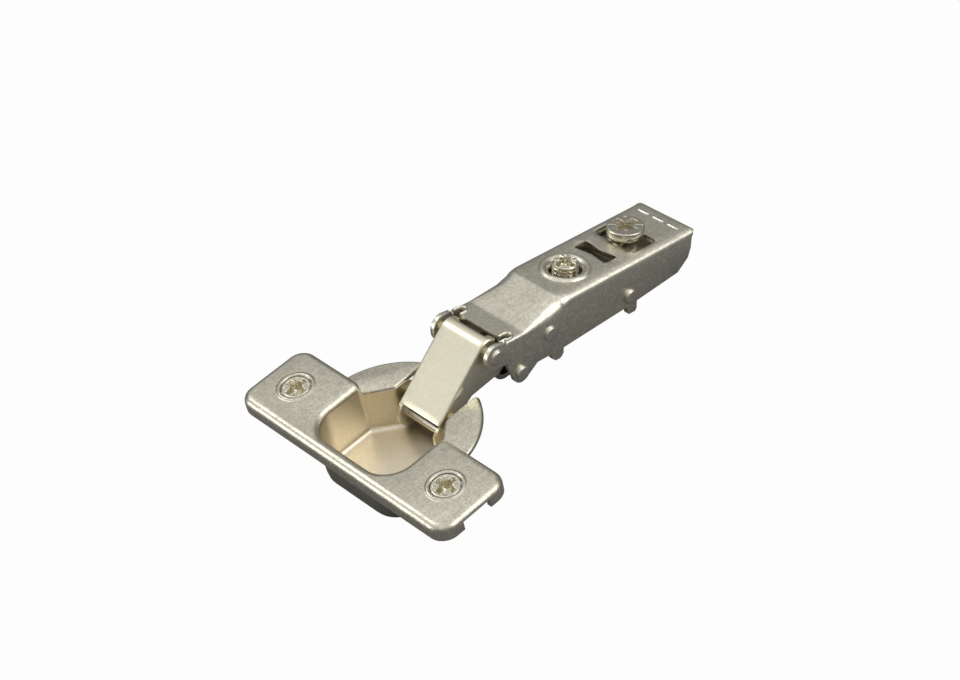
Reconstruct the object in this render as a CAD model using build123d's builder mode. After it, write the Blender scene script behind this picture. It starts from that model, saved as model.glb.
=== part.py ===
from build123d import *
import math
import os

# Concealed cabinet hinge: a pressed cup with a screw-on flange, two links and a clip-on arm. Millimetres.
# The origin is on the cup's axis at the door face, +Z points out of the door, +X points from the cup towards
# the arm and Y runs along the flange. The hinge is drawn wide open.

os.makedirs("parts", exist_ok=True)

# Fits
running_gap = 0.05
pin_flush = 0.2
side_gap = 0.3

# Sheet metal
cup_sheet = 1.2
link_sheet = 1.0
arm_sheet = 1.15
saddle_sheet = 1.1
base_sheet = 1.1
lever_sheet = 1.4

# Flange and its two screws
screw_spacing = 48.0
flange_end = 9.05
flange_length = screw_spacing + 2 * flange_end
flange_width = 19.5
flange_front = -15.9
flange_height = 3.7
flange_corner = 4.5
flange_roll = 1.2
end_gap_width = 7.5
screw_offset = -6.0
ring_radius = 4.26
ring_height = 0.3
dimple_depth = 1.2
screw_radius = 1.95
screw_neck_radius = 1.75
screw_hole_gap = 0.35
screw_head_radius = 3.3
screw_head_sink = 0.25
screw_head_rim = 0.25
screw_length = 13.0
screw_tip = 3.0
screw_point = 0.2

# Round rim behind the flange and the pot under it
rim_radius = 19.8
rim_thickness = 1.3
rim_roll = 0.5
pot_front = -12.8
pot_half_width = 13.0
pot_front_half = 9.4
pot_front_chamfer = 4.1
pot_side_end = 2.6
pot_depth = 9.9
pot_draft = 3.0
pot_corner = 2.0
pot_mouth_roll = 0.7
pot_floor_fillet = 1.5
channel_start = 8.4
channel_half_width = 8.2
channel_end = 13.4
channel_floor_end = 11.0
channel_slope_top = -7.0
channel_wall_top = -4.4

# Linkage: cup pins P (outer link) and Q (inner link), arm pins A and B
pin_p = (9.2, -5.5)
pin_q = (11.85, -2.5)
pin_a = (24.6, 7.1)
pin_b = (30.3, -2.1)
cup_pin_radius = 1.1
cup_pin_end = 0.2
arm_pin_radius = 1.2
arm_pin_head_radius = 1.9
arm_pin_head = 0.6
inner_pin_radius = 1.3

# Outer link, in its own frame: X up the plate, Y out of the plate, origin on pin P
link_slope = 36.1
link_half_width = 6.4
link_plate_height = 4.38
link_plate_start = 1.05
link_lug_radius = 2.5
link_notch_gap = 0.3
link_bend_radius = 3.3
link_skirt_low = -0.9
link_neck = (1.6, -0.2)
link_front = ((-2.1, -2.1), (-3.3, -0.6), (-3.3, 1.4), (-1.8, 3.4))
link_tail = ((3.3, -1.5), (1.2, -6.1), (-1.0, -7.1), (-3.2, -6.8))

# Inner link, running between the outer link's skirts
inner_half_width = 4.6
inner_eye_q_radius = 2.0
inner_eye_b_radius = 3.6
neck_over = ((14.4, 0.4), (17.6, 2.6), (24.0, 2.8))
neck_under = ((23.6, 0.5), (18.0, 0.3))
neck_corner = 1.4
open_eye_radius = 2.45
open_eye_shift = (-0.78, 0.69)

# Closing spring round pin A
spring_wire = 0.8
spring_mean_radius = 1.7
spring_turns = 11
spring_window_start = 0.5
spring_window_gap = 0.2

# Arm, in its own frame: X towards its rear, Y out of its top, origin on pin A
arm_slope = -13.1
arm_half_width = 8.9
arm_top = 5.67
arm_length = 63.6
arm_rear = ((0, -1.5), (-1.7, -1.8), (-1.9, -4.4), (-2.9, -6.8), (-6.2, -9.57))
arm_fold_start = 20.0
arm_flat = arm_length - arm_fold_start
arm_lip_back = 8.2
arm_lip_height = 2.55
arm_lip_front = 4.0
arm_edge_roll = 1.5
ear_radius = 3.0
ear_gap = (3.3, -3.9)
ear_b = ((1.9, -1.8), (0, -2.4), (-2.6, -2.1), (-4.2, 0.3))
arm_belly = -7.1
arm_belly_start = 12.4
arm_belly_end = arm_fold_start + 1
relief_width = 1.3
relief_length = 2.4

# Adjusting screws on the arm
overlay_x = arm_fold_start + 0.22 * arm_flat
overlay_ring_radius = 6.0
overlay_ring_height = 0.5
overlay_ring_land = 1.6
overlay_dish_depth = 0.4
overlay_hole_radius = 3.6
overlay_screw_radius = 3.0
overlay_screw_top = arm_top + 1.93
overlay_neck_radius = 1.8
depth_x = arm_length - 0.337 * arm_flat
depth_slot_half_length = 6.4
depth_slot_half_width = 3.9
depth_slot_corner = 1.2
depth_head_radius = 4.4
depth_head_height = 2.3
depth_head_lift = 0.6
depth_collar_radius = 3.1
depth_neck_radius = 2.2
depth_disc_radius = 4.2
waist_x = (overlay_x + depth_x) / 2
waist_half_length = 4.9
waist_half_width = 2.1
waist_pinch = 0.9
recess_depth = 1.5
recess_width = 1.1
recess_length = 4.2
depth_recess_length = 5.2
recess_draft = 12
screw_bevel = 0.6
screw_foot = 0.65
grip_x = arm_length - 3.6
grip_pitch = 4.6
grip_length = 3.4
grip_width = 0.9
grip_height = 0.25

# Rivets in the arm's side walls
guide_x = arm_fold_start - 3.7
guide_y = -1.4
tilt_x = depth_x - 7.1
tilt_y = -3.2
rivet_radius = 1.1
rivet_head_radius = 1.9
rivet_head = 0.6
guide_slot_half = 1.3
guide_slot_gap = 0.2

# Saddle inside the arm, which tilts on the rear rivets
saddle_gap = 0.4
saddle_top = 2.9
saddle_start = overlay_x - 7.2
saddle_end = arm_length - 7.1
saddle_nose = guide_x - 2.7
saddle_nose_cut = (1.6, 0.8)
saddle_nose_top = 1.6
saddle_bottom = -4.8
saddle_tail_bottom = -2.6
saddle_edge_roll = 0.8

# Base inside the saddle, which slides for the depth and clips on the mounting plate
base_gap = 0.3
base_top = 0.75
base_start = guide_x + 0.3
base_end = saddle_end - 3
base_bottom = -4.9
base_tail_bottom = -2.7
hook_x = guide_x + 1.6
hook_radius = 1.95
hook_bottom = -8.8
lug_x = tilt_x
lug_radius = 1.75
lug_bottom = -7.2

# Release lever under the rear of the base
lever_pin_x = base_end - 4
lever_pin_y = -3.0
lever_pin_radius = 1.1
lever_gap = 0.35
lever_eye_radius = 2.6
lever_catch_x = lever_pin_x - 4.3
lever_catch_y = -7.0
lever_catch = 1.6
lever_tail_x = lever_pin_x + 8.1
lever_tail_y = -2.6
lever_spring_wire = 0.7
lever_spring_radius = 1.5
lever_spring_turns = 5
tail_start = lever_pin_x - 3


def side_frame(point, slope):
    """Plane through a point of the XZ plane: X runs at a slope, Y is its upward normal, Z looks along -Y."""
    turn = math.radians(slope)
    return Plane(origin=(point[0], 0, point[1]), x_dir=(math.cos(turn), 0, math.sin(turn)), z_dir=(0, -1, 0))


def top_frame(frame, x, y):
    """Plane at a point of a side frame that faces along the frame's own Y."""
    spot = frame.from_local_coords(Vector(x, y, 0))
    return Plane(origin=spot, x_dir=frame.x_dir, z_dir=frame.y_dir)


def to_frame(frame, point):
    """A point of the XZ plane as the X and Y of a side frame."""
    local = frame.to_local_coords(Vector(point[0], 0, point[1]))
    return (local.X, local.Y)


def save(builder, name):
    """Label a finished piece and write it as its own file."""
    builder.part.label = name
    export_step(builder.part, f"parts/{name}.step")


body_frame = side_frame((0, 0), 0)
link_frame = side_frame(pin_p, link_slope)
arm_frame = side_frame(pin_a, arm_slope)

arm_inner = arm_half_width - arm_sheet
saddle_half_width = arm_inner - saddle_gap
saddle_inner = saddle_half_width - saddle_sheet
base_half_width = saddle_inner - base_gap
base_inner = base_half_width - base_sheet
lever_half_width = base_inner - lever_gap
link_inner = link_half_width - link_sheet
a_in_link = to_frame(link_frame, pin_a)
q_in_link = to_frame(link_frame, pin_q)
b_in_arm = to_frame(arm_frame, pin_b)
flange_mid = flange_front + flange_width / 2
flange_back = flange_front + flange_width


def cross_pin(name, frame, spot, radius, half_length, head_radius, head_length):
    """Round pin along Y with a chamfered head at both ends, half_length being where the heads begin."""
    with BuildPart() as pin:
        with BuildSketch(frame):
            with Locations(spot):
                Circle(radius)
        extrude(amount=half_length, both=True)
        for side in (1, -1):
            with BuildSketch(frame.offset(side * half_length)):
                with Locations(spot):
                    Circle(head_radius)
            extrude(amount=side * head_length)
        rims = pin.edges().filter_by(GeomType.CIRCLE).sort_by(Axis.Y)
        chamfer([rims[0], rims[-1]], head_length * 0.6)
    save(pin, name)


def ridged_sleeve(radius, wire, turns):
    """Half section of a close-wound coil: a row of ridges outside and a smooth bore."""
    start = -turns * wire / 2
    ridges = [(radius - wire / 2, -start), (radius - wire / 2, start)]
    for turn in range(turns):
        ridges += [(radius, start + turn * wire), (radius + wire / 2, start + (turn + 0.5) * wire)]
    Polygon(*ridges, (radius, -start), align=None)


def pot_outline(grow):
    """Plan of the pot: straight front, slanted shoulders, straight sides and a neck to the channel."""
    front = pot_front - grow
    side = pot_half_width + grow
    shoulder = pot_front + pot_front_chamfer - grow * 0.4
    neck_x = channel_start + grow * 0.4
    neck_y = channel_half_width + grow
    half = [
        (front, pot_front_half + grow * 0.4),
        (shoulder, side),
        (pot_side_end + grow * 0.4, side),
        (neck_x, neck_y),
    ]
    mirrored = [(x, -y) for x, y in reversed(half)]
    Polygon(*half, *mirrored, align=None)


# Hollow of the pot and of the channel that the links fold into
with BuildPart() as pot_hollow:
    with BuildSketch(Plane.XY.offset(flange_height)):
        pot_outline(0)
    extrude(amount=-(flange_height + pot_depth), taper=pot_draft)
    upright = pot_hollow.edges().filter_by(lambda e: abs(e.tangent_at(0.5).Z) > 0.9)
    fillet(upright.filter_by(lambda e: e.center().X < 0), pot_corner)
    fillet(pot_hollow.edges().group_by(Axis.Z)[0], pot_floor_fillet)
    with BuildSketch(body_frame):
        Polygon(
            (0, -pot_depth),
            (channel_floor_end, -pot_depth),
            (channel_end, channel_slope_top),
            (channel_end, channel_wall_top),
            (2 * rim_radius, channel_wall_top),
            (2 * rim_radius, flange_height),
            (0, flange_height),
            align=None,
        )
    extrude(amount=channel_half_width, both=True)

# Cup: flange, rim, pot and channel pressed from one sheet
with BuildPart() as cup:
    with BuildSketch():
        with Locations((flange_mid, 0)):
            RectangleRounded(flange_width, flange_length, flange_corner)
    extrude(amount=flange_height)
    fillet(cup.edges().group_by(Axis.Z)[-1], flange_roll)
    with BuildSketch():
        with Locations((flange_mid, 0)):
            inner_length = flange_length - 2 * cup_sheet
            RectangleRounded(flange_width - 2 * cup_sheet, inner_length, flange_corner - cup_sheet)
    extrude(amount=flange_height - cup_sheet, mode=Mode.SUBTRACT)
    with BuildSketch():
        with Locations((flange_mid, 0)):
            Rectangle(end_gap_width, flange_length + 1)
    extrude(amount=flange_height - flange_roll - side_gap, mode=Mode.SUBTRACT)
    with BuildSketch() as rim_plan:
        Circle(rim_radius)
        with Locations((flange_back - cup_sheet, 0)):
            Rectangle(rim_radius * 2, rim_radius * 3, align=(Align.MAX, Align.CENTER), mode=Mode.SUBTRACT)
    extrude(amount=rim_thickness)
    round_edges = cup.edges().filter_by(GeomType.CIRCLE)
    fillet(round_edges.filter_by(lambda e: abs(e.radius - rim_radius) < 0.01), rim_roll)
    with BuildSketch(Plane.XY.offset(flange_height)):
        pot_outline(cup_sheet)
    extrude(amount=-(flange_height + pot_depth + cup_sheet), taper=pot_draft)
    with BuildSketch(body_frame):
        floor = -pot_depth - cup_sheet
        end = channel_end + cup_sheet
        Polygon(
            (0, floor),
            (channel_floor_end + cup_sheet * 0.5, floor),
            (end, channel_slope_top - cup_sheet * 0.5),
            (end, rim_thickness),
            (0, rim_thickness),
            align=None,
        )
    extrude(amount=channel_half_width + cup_sheet, both=True)
    with BuildSketch(body_frame):
        with Locations((flange_back, rim_thickness)):
            Rectangle(rim_radius, flange_height, align=(Align.MIN, Align.MIN))
    extrude(amount=rim_radius, both=True, mode=Mode.SUBTRACT)
    add(pot_hollow.part, mode=Mode.SUBTRACT)
    for top, front in ((flange_height, pot_front), (rim_thickness, flange_back)):
        with BuildSketch(Plane.XY.offset(top)):
            pot_outline(pot_mouth_roll)
            with Locations((front - pot_mouth_roll, 0)):
                Rectangle(rim_radius, 2 * rim_radius, align=(Align.MIN, Align.CENTER), mode=Mode.INTERSECT)
        extrude(amount=-pot_mouth_roll, taper=45, mode=Mode.SUBTRACT)
    with BuildSketch(Plane.XY.offset(rim_thickness)):
        with Locations((channel_start, 0)):
            slot_width = 2 * (channel_half_width + pot_mouth_roll)
            Rectangle(rim_radius, slot_width, align=(Align.MIN, Align.CENTER))
    extrude(amount=-pot_mouth_roll, taper=45, mode=Mode.SUBTRACT)
    for side in (1, -1):
        spot = (screw_offset, side * screw_spacing / 2)
        with BuildSketch(Plane.XY.offset(flange_height - cup_sheet - dimple_depth)):
            with Locations(spot):
                Circle(ring_radius)
        extrude(amount=dimple_depth + cup_sheet + ring_height)
        with Locations((spot[0], spot[1], flange_height + ring_height)):
            mouth = screw_head_radius + screw_head_sink + screw_head_rim + running_gap
            CounterSinkHole(screw_neck_radius + screw_hole_gap, mouth, counter_sink_angle=90)
    for spot in (pin_p, pin_q):
        with BuildSketch(body_frame):
            with Locations(spot):
                Circle(cup_pin_radius)
        extrude(amount=channel_half_width + 3, both=True, mode=Mode.SUBTRACT)
save(cup, "cup")

# Screws that hold the flange on the door
for side, name in ((1, "cup_screw_left"), (-1, "cup_screw_right")):
    head_top = flange_height + ring_height - screw_head_sink
    cone = screw_head_radius - screw_neck_radius
    tip_z = head_top - screw_length
    thread_z = flange_height - cup_sheet - dimple_depth - side_gap
    with BuildPart() as screw:
        with BuildSketch(Plane.XZ.offset(-side * screw_spacing / 2)):
            with Locations((screw_offset, 0)):
                Polygon(
                    (0, head_top),
                    (screw_head_radius, head_top),
                    (screw_head_radius, head_top - screw_head_rim),
                    (screw_neck_radius, head_top - screw_head_rim - cone),
                    (screw_neck_radius, thread_z),
                    (screw_radius, thread_z),
                    (screw_radius, tip_z + screw_tip),
                    (screw_point, tip_z),
                    (0, tip_z),
                    align=None,
                )
        revolve(axis=Axis((screw_offset, side * screw_spacing / 2, 0), (0, 0, 1)))
        with BuildSketch(Plane.XY.offset(head_top)):
            with Locations((screw_offset, side * screw_spacing / 2)):
                Rectangle(recess_length, recess_width)
                Rectangle(recess_width, recess_length)
        extrude(amount=-recess_depth, taper=recess_draft, mode=Mode.SUBTRACT)
    save(screw, name)

# Pins fixed in the cup's channel walls
for spot, name in ((pin_p, "outer_cup_pin"), (pin_q, "inner_cup_pin")):
    reach = channel_half_width + cup_sheet - cup_pin_end
    cross_pin(name, body_frame, spot, cup_pin_radius, reach, cup_pin_radius, cup_pin_end)

# Outer link: a U-shaped pressing whose plate curls over pin A and whose skirts arch over pin Q
ax, ay = a_in_link
qx, qy = q_in_link
notch_radius = cup_pin_radius + link_notch_gap
pin_spacing = math.hypot(qx, qy)
q_angle = math.degrees(math.atan2(qy, qx))
with BuildPart() as outer_link:
    with BuildSketch(link_frame):
        with BuildLine():
            Line((link_plate_start, link_plate_height), (ax, link_plate_height))
            RadiusArc((ax, link_plate_height), (ax + link_bend_radius, ay), link_plate_height - ay)
            Polyline(
                (ax + link_bend_radius, ay),
                *[(ax + x, ay + y) for x, y in link_tail],
                (ax / 2, link_skirt_low),
                (pin_spacing + link_neck[0], link_neck[1]),
                (0, -link_lug_radius),
                *link_front,
                (link_plate_start, link_plate_height),
            )
        make_face()
        with BuildSketch(link_frame, mode=Mode.SUBTRACT):
            Circle(pin_spacing + notch_radius)
            Circle(link_lug_radius, mode=Mode.SUBTRACT)
            far = 4 * pin_spacing
            sector = [(0, 0), (far * math.cos(math.radians(q_angle)), far * math.sin(math.radians(q_angle)))]
            Polygon(*sector, (far, -far), (0, -far), align=None, mode=Mode.INTERSECT)
        with Locations(q_in_link):
            Circle(notch_radius, mode=Mode.SUBTRACT)
        Circle(link_lug_radius)
    extrude(amount=link_half_width, both=True)
    with BuildSketch(link_frame):
        under = link_plate_height - link_sheet
        bend = ax + link_bend_radius - link_sheet
        low = -2 * link_plate_height
        with BuildLine():
            Line((low, under), (ax, under))
            RadiusArc((ax, under), (bend, ay), under - ay)
            Polyline((bend, ay), (bend, low), (low, low), (low, under))
        make_face()
    extrude(amount=link_inner, both=True, mode=Mode.SUBTRACT)
    spring_half = spring_turns * spring_wire / 2
    with BuildSketch(link_frame):
        with Locations((ax + spring_window_start, 0)):
            window_height = 2 * (link_plate_height + link_sheet)
            Rectangle(2 * link_bend_radius, window_height, align=(Align.MIN, Align.CENTER))
    extrude(amount=spring_half + spring_window_gap, both=True, mode=Mode.SUBTRACT)
    for spot, radius in (((0, 0), cup_pin_radius), (a_in_link, arm_pin_radius)):
        with BuildSketch(link_frame):
            with Locations(spot):
                Circle(radius + running_gap)
        extrude(amount=2 * link_half_width, both=True, mode=Mode.SUBTRACT)
save(outer_link, "outer_link")

# Inner link: a gooseneck bar whose far eye is loose round pin B
eye_b = (pin_b[0] + open_eye_shift[0], pin_b[1] + open_eye_shift[1])
with BuildPart() as inner_link:
    with BuildSketch(body_frame):
        with Locations(pin_q):
            Circle(inner_eye_q_radius)
        with Locations(eye_b):
            Circle(inner_eye_b_radius)
        Polygon(
            (pin_q[0], pin_q[1] + inner_eye_q_radius),
            *neck_over,
            (eye_b[0], eye_b[1] + inner_eye_b_radius),
            (eye_b[0] - inner_eye_b_radius / 2, eye_b[1] - inner_eye_b_radius * 0.86),
            *neck_under,
            (pin_q[0] + neck_corner, pin_q[1] - neck_corner),
            align=None,
        )
        with Locations(pin_q):
            Circle(cup_pin_radius + running_gap, mode=Mode.SUBTRACT)
        with Locations(eye_b):
            Circle(open_eye_radius, mode=Mode.SUBTRACT)
    extrude(amount=inner_half_width, both=True)
save(inner_link, "inner_link")

# Closing spring, wound round pin A between the outer link's skirts
with BuildPart() as closing_spring:
    with BuildSketch(top_frame(arm_frame, 0, 0)):
        ridged_sleeve(spring_mean_radius, spring_wire, spring_turns)
    revolve(axis=Axis((pin_a[0], 0, pin_a[1]), (0, 1, 0)))
save(closing_spring, "closing_spring")

# Pins carried by the arm
arm_pins = ((pin_a, arm_pin_radius, "outer_arm_pin"), (pin_b, inner_pin_radius, "inner_arm_pin"))
for spot, radius, name in arm_pins:
    place = to_frame(arm_frame, spot)
    cross_pin(name, arm_frame, place, radius, arm_half_width, arm_pin_head_radius, arm_pin_head)

# Arm: a channel open below, stepped down to its lip, with two ears at each side
bx, by = b_in_arm
fold_x, fold_y = arm_fold_start, arm_top
slope_angle = math.atan2(fold_y - arm_lip_height, fold_x - arm_lip_back)
fold_drop = arm_sheet * math.tan(slope_angle / 2)
with BuildPart() as arm:
    with BuildSketch(arm_frame):
        Circle(ear_radius)
        Polygon(
            (0, ear_radius),
            (arm_lip_front, arm_lip_height),
            (arm_lip_back, arm_lip_height),
            (fold_x, fold_y),
            (arm_length, arm_top),
            *[(arm_length + x, arm_top + y) for x, y in arm_rear],
            (arm_belly_end, arm_belly),
            (arm_belly_start, arm_belly),
            *[(bx + x, by + y) for x, y in ear_b],
            ear_gap,
            (0, -ear_radius),
            align=None,
        )
    extrude(amount=arm_half_width, both=True)
    sides = arm.edges().filter_by(lambda e: abs(abs(e.center().Y) - arm_half_width) < 0.01)
    tops = sides.filter_by(lambda e: arm_frame.to_local_coords(e.center()).Y > arm_lip_height - 0.05)
    rolled_end = arm_length - arm_edge_roll
    rolled = tops.filter_by(lambda e: arm_lip_back < arm_frame.to_local_coords(e.center()).X < rolled_end)
    fillet(rolled, arm_edge_roll)
    with BuildSketch(arm_frame):
        Polygon(
            (-ear_radius - 1, arm_top),
            (arm_lip_front, arm_top),
            (arm_lip_front, arm_lip_height - arm_sheet),
            (arm_lip_back + fold_drop, arm_lip_height - arm_sheet),
            (fold_x + fold_drop, fold_y - arm_sheet),
            (arm_length - arm_sheet, fold_y - arm_sheet),
            (arm_length - arm_sheet, 3 * by),
            (-ear_radius - 1, 3 * by),
            align=None,
        )
    extrude(amount=arm_inner, both=True, mode=Mode.SUBTRACT)
    with BuildSketch(top_frame(arm_frame, overlay_x, arm_top)):
        Circle(overlay_ring_radius)
    extrude(amount=overlay_ring_height, taper=35)
    with BuildSketch(top_frame(arm_frame, overlay_x, arm_top + overlay_ring_height)):
        Circle(overlay_ring_radius - overlay_ring_land)
    extrude(amount=-overlay_ring_height - overlay_dish_depth, taper=20, mode=Mode.SUBTRACT)
    with BuildSketch(top_frame(arm_frame, 0, arm_top)):
        with Locations((overlay_x, 0)):
            Circle(overlay_hole_radius)
        w, h = waist_half_width, waist_half_length
        with Locations((waist_x, 0)):
            Polygon(
                (-w, -h), (w, -h), (w - waist_pinch, 0), (w, h), (-w, h), (-w + waist_pinch, 0), align=None
            )
        with Locations((depth_x, 0)):
            RectangleRounded(2 * depth_slot_half_width, 2 * depth_slot_half_length, depth_slot_corner)
        for side in (1, -1):
            with Locations((arm_lip_front, side * (arm_inner - relief_width / 2))):
                SlotOverall(2 * relief_length, relief_width)
    extrude(amount=-(arm_top - arm_lip_height) - 2 * arm_sheet, mode=Mode.SUBTRACT)
    with BuildSketch(top_frame(arm_frame, 0, arm_top)):
        for row in (-1, 0, 1):
            with Locations((grip_x, row * grip_pitch)):
                SlotOverall(grip_length, grip_width, rotation=90)
    extrude(amount=grip_height)
    for spot, radius in (
        ((0, 0), arm_pin_radius),
        (b_in_arm, inner_pin_radius),
        ((guide_x, guide_y), rivet_radius),
        ((tilt_x, tilt_y), rivet_radius),
    ):
        with BuildSketch(arm_frame):
            with Locations(spot):
                Circle(radius)
        extrude(amount=2 * arm_half_width, both=True, mode=Mode.SUBTRACT)
save(arm, "arm")

# Short rivets through the arm's walls: the front pair guides the saddle, the rear pair carries it
for x, y, kind in ((guide_x, guide_y, "guide"), (tilt_x, tilt_y, "tilt")):
    for side, hand in ((1, "right"), (-1, "left")):
        with BuildPart() as rivet:
            with BuildSketch(arm_frame.offset(side * saddle_inner)):
                with Locations((x, y)):
                    Circle(rivet_radius)
            extrude(amount=side * (arm_half_width - saddle_inner))
            with BuildSketch(arm_frame.offset(side * arm_half_width)):
                with Locations((x, y)):
                    Circle(rivet_head_radius)
            extrude(amount=side * rivet_head)
            rims = rivet.edges().filter_by(GeomType.CIRCLE).sort_by(Axis.Y)
            chamfer(rims[0] if side > 0 else rims[-1], rivet_head * 0.6)
        save(rivet, f"{kind}_rivet_{hand}")

# Saddle: a channel inside the arm that carries both adjusting screws
slot_half = rivet_radius + guide_slot_half
with BuildPart() as saddle:
    with BuildSketch(arm_frame):
        Polygon(
            (saddle_nose, saddle_nose_top - saddle_nose_cut[1]),
            (saddle_nose + saddle_nose_cut[0], saddle_nose_top),
            (saddle_start, saddle_nose_top),
            (saddle_start, saddle_top),
            (saddle_end, saddle_top),
            (saddle_end, saddle_tail_bottom),
            (tail_start, saddle_bottom),
            (saddle_nose + saddle_nose_cut[1], saddle_bottom),
            (saddle_nose, saddle_bottom + saddle_nose_cut[1]),
            align=None,
        )
    extrude(amount=saddle_half_width, both=True)
    with BuildSketch(arm_frame):
        Polygon(
            (saddle_nose - 1, saddle_top - saddle_sheet),
            (saddle_end + 1, saddle_top - saddle_sheet),
            (saddle_end + 1, 2 * saddle_bottom),
            (saddle_nose - 1, 2 * saddle_bottom),
            align=None,
        )
    extrude(amount=saddle_inner, both=True, mode=Mode.SUBTRACT)
    long_edges = saddle.edges().filter_by(lambda e: abs(abs(e.center().Y) - saddle_half_width) < 0.01)
    top_edges = long_edges.filter_by(lambda e: arm_frame.to_local_coords(e.center()).Y > saddle_top - 0.01)
    fillet(top_edges, saddle_edge_roll)
    with BuildSketch(top_frame(arm_frame, 0, saddle_top)):
        for x, radius in ((overlay_x, overlay_neck_radius), (depth_x, depth_neck_radius)):
            with Locations((x, 0)):
                Circle(radius + running_gap)
    extrude(amount=-2 * saddle_sheet, mode=Mode.SUBTRACT)
    with BuildSketch(arm_frame):
        with Locations((guide_x, guide_y)):
            SlotOverall(2 * slot_half, 2 * (rivet_radius + guide_slot_gap), rotation=90)
        with Locations((tilt_x, tilt_y)):
            Circle(rivet_radius + running_gap)
    extrude(amount=2 * saddle_half_width, both=True, mode=Mode.SUBTRACT)
save(saddle, "saddle")

# Overlay screw: threaded grub riveted into the saddle
saddle_under = saddle_top - saddle_sheet
with BuildPart() as overlay_screw:
    with BuildSketch(arm_frame):
        Polygon(
            (overlay_x, overlay_screw_top),
            (overlay_x + overlay_screw_radius - screw_bevel, overlay_screw_top),
            (overlay_x + overlay_screw_radius, overlay_screw_top - screw_bevel),
            (overlay_x + overlay_screw_radius, saddle_top + running_gap),
            (overlay_x + overlay_neck_radius, saddle_top + running_gap),
            (overlay_x + overlay_neck_radius, saddle_under - running_gap),
            (overlay_x + overlay_screw_radius, saddle_under - running_gap),
            (overlay_x + overlay_screw_radius, saddle_under - screw_foot),
            (overlay_x, saddle_under - screw_foot),
            align=None,
        )
    axis_foot = top_frame(arm_frame, overlay_x, 0)
    revolve(axis=Axis(axis_foot.origin, axis_foot.z_dir))
    with BuildSketch(top_frame(arm_frame, overlay_x, overlay_screw_top)):
        Rectangle(recess_length, recess_width)
        Rectangle(recess_width, recess_length)
    extrude(amount=-recess_depth, taper=recess_draft, mode=Mode.SUBTRACT)
save(overlay_screw, "overlay_screw")

# Depth screw: pan head over the slot, collar in it, and a cam disc under the saddle
head_low = arm_top + depth_head_lift
with BuildPart() as depth_screw:
    with BuildSketch(arm_frame):
        Polygon(
            (depth_x, head_low + depth_head_height),
            (depth_x + depth_head_radius - screw_bevel, head_low + depth_head_height),
            (depth_x + depth_head_radius, head_low + depth_head_height - screw_bevel),
            (depth_x + depth_head_radius, head_low + screw_bevel),
            (depth_x + depth_head_radius - screw_bevel, head_low),
            (depth_x + depth_collar_radius, head_low),
            (depth_x + depth_collar_radius, saddle_top + running_gap),
            (depth_x + depth_neck_radius, saddle_top + running_gap),
            (depth_x + depth_neck_radius, saddle_under - running_gap),
            (depth_x + depth_disc_radius, saddle_under - running_gap),
            (depth_x + depth_disc_radius, saddle_under - screw_foot),
            (depth_x, saddle_under - screw_foot),
            align=None,
        )
    axis_foot = top_frame(arm_frame, depth_x, 0)
    revolve(axis=Axis(axis_foot.origin, axis_foot.z_dir))
    with BuildSketch(top_frame(arm_frame, depth_x, head_low + depth_head_height)):
        Rectangle(depth_recess_length, recess_width)
        Rectangle(recess_width, depth_recess_length)
    extrude(amount=-recess_depth, taper=recess_draft, mode=Mode.SUBTRACT)
save(depth_screw, "depth_screw")

# Base: a channel inside the saddle with the hooks that hold the mounting plate
with BuildPart() as base:
    with BuildSketch(arm_frame):
        Polygon(
            (base_start, base_top),
            (base_end, base_top),
            (base_end, base_tail_bottom),
            (tail_start, base_bottom),
            (lug_x + lug_radius, base_bottom),
            (lug_x + lug_radius, lug_bottom + lug_radius),
            (lug_x - lug_radius, lug_bottom + lug_radius),
            (lug_x - lug_radius, base_bottom),
            (hook_x + hook_radius, base_bottom),
            (hook_x + hook_radius, hook_bottom + hook_radius),
            (hook_x - hook_radius, hook_bottom + hook_radius),
            (hook_x - hook_radius, base_bottom),
            (base_start, base_bottom + hook_radius),
            align=None,
        )
        with Locations((lug_x, lug_bottom + lug_radius)):
            Circle(lug_radius)
        with Locations((hook_x, hook_bottom + hook_radius)):
            Circle(hook_radius)
    extrude(amount=base_half_width, both=True)
    with BuildSketch(arm_frame):
        Polygon(
            (base_start - 3, base_top - base_sheet),
            (base_end + 1, base_top - base_sheet),
            (base_end + 1, 2 * hook_bottom),
            (base_start - 3, 2 * hook_bottom),
            align=None,
        )
    extrude(amount=base_inner, both=True, mode=Mode.SUBTRACT)
    with BuildSketch(arm_frame):
        with Locations((lever_pin_x, lever_pin_y)):
            Circle(lever_pin_radius)
    extrude(amount=2 * base_half_width, both=True, mode=Mode.SUBTRACT)
save(base, "base")

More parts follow.
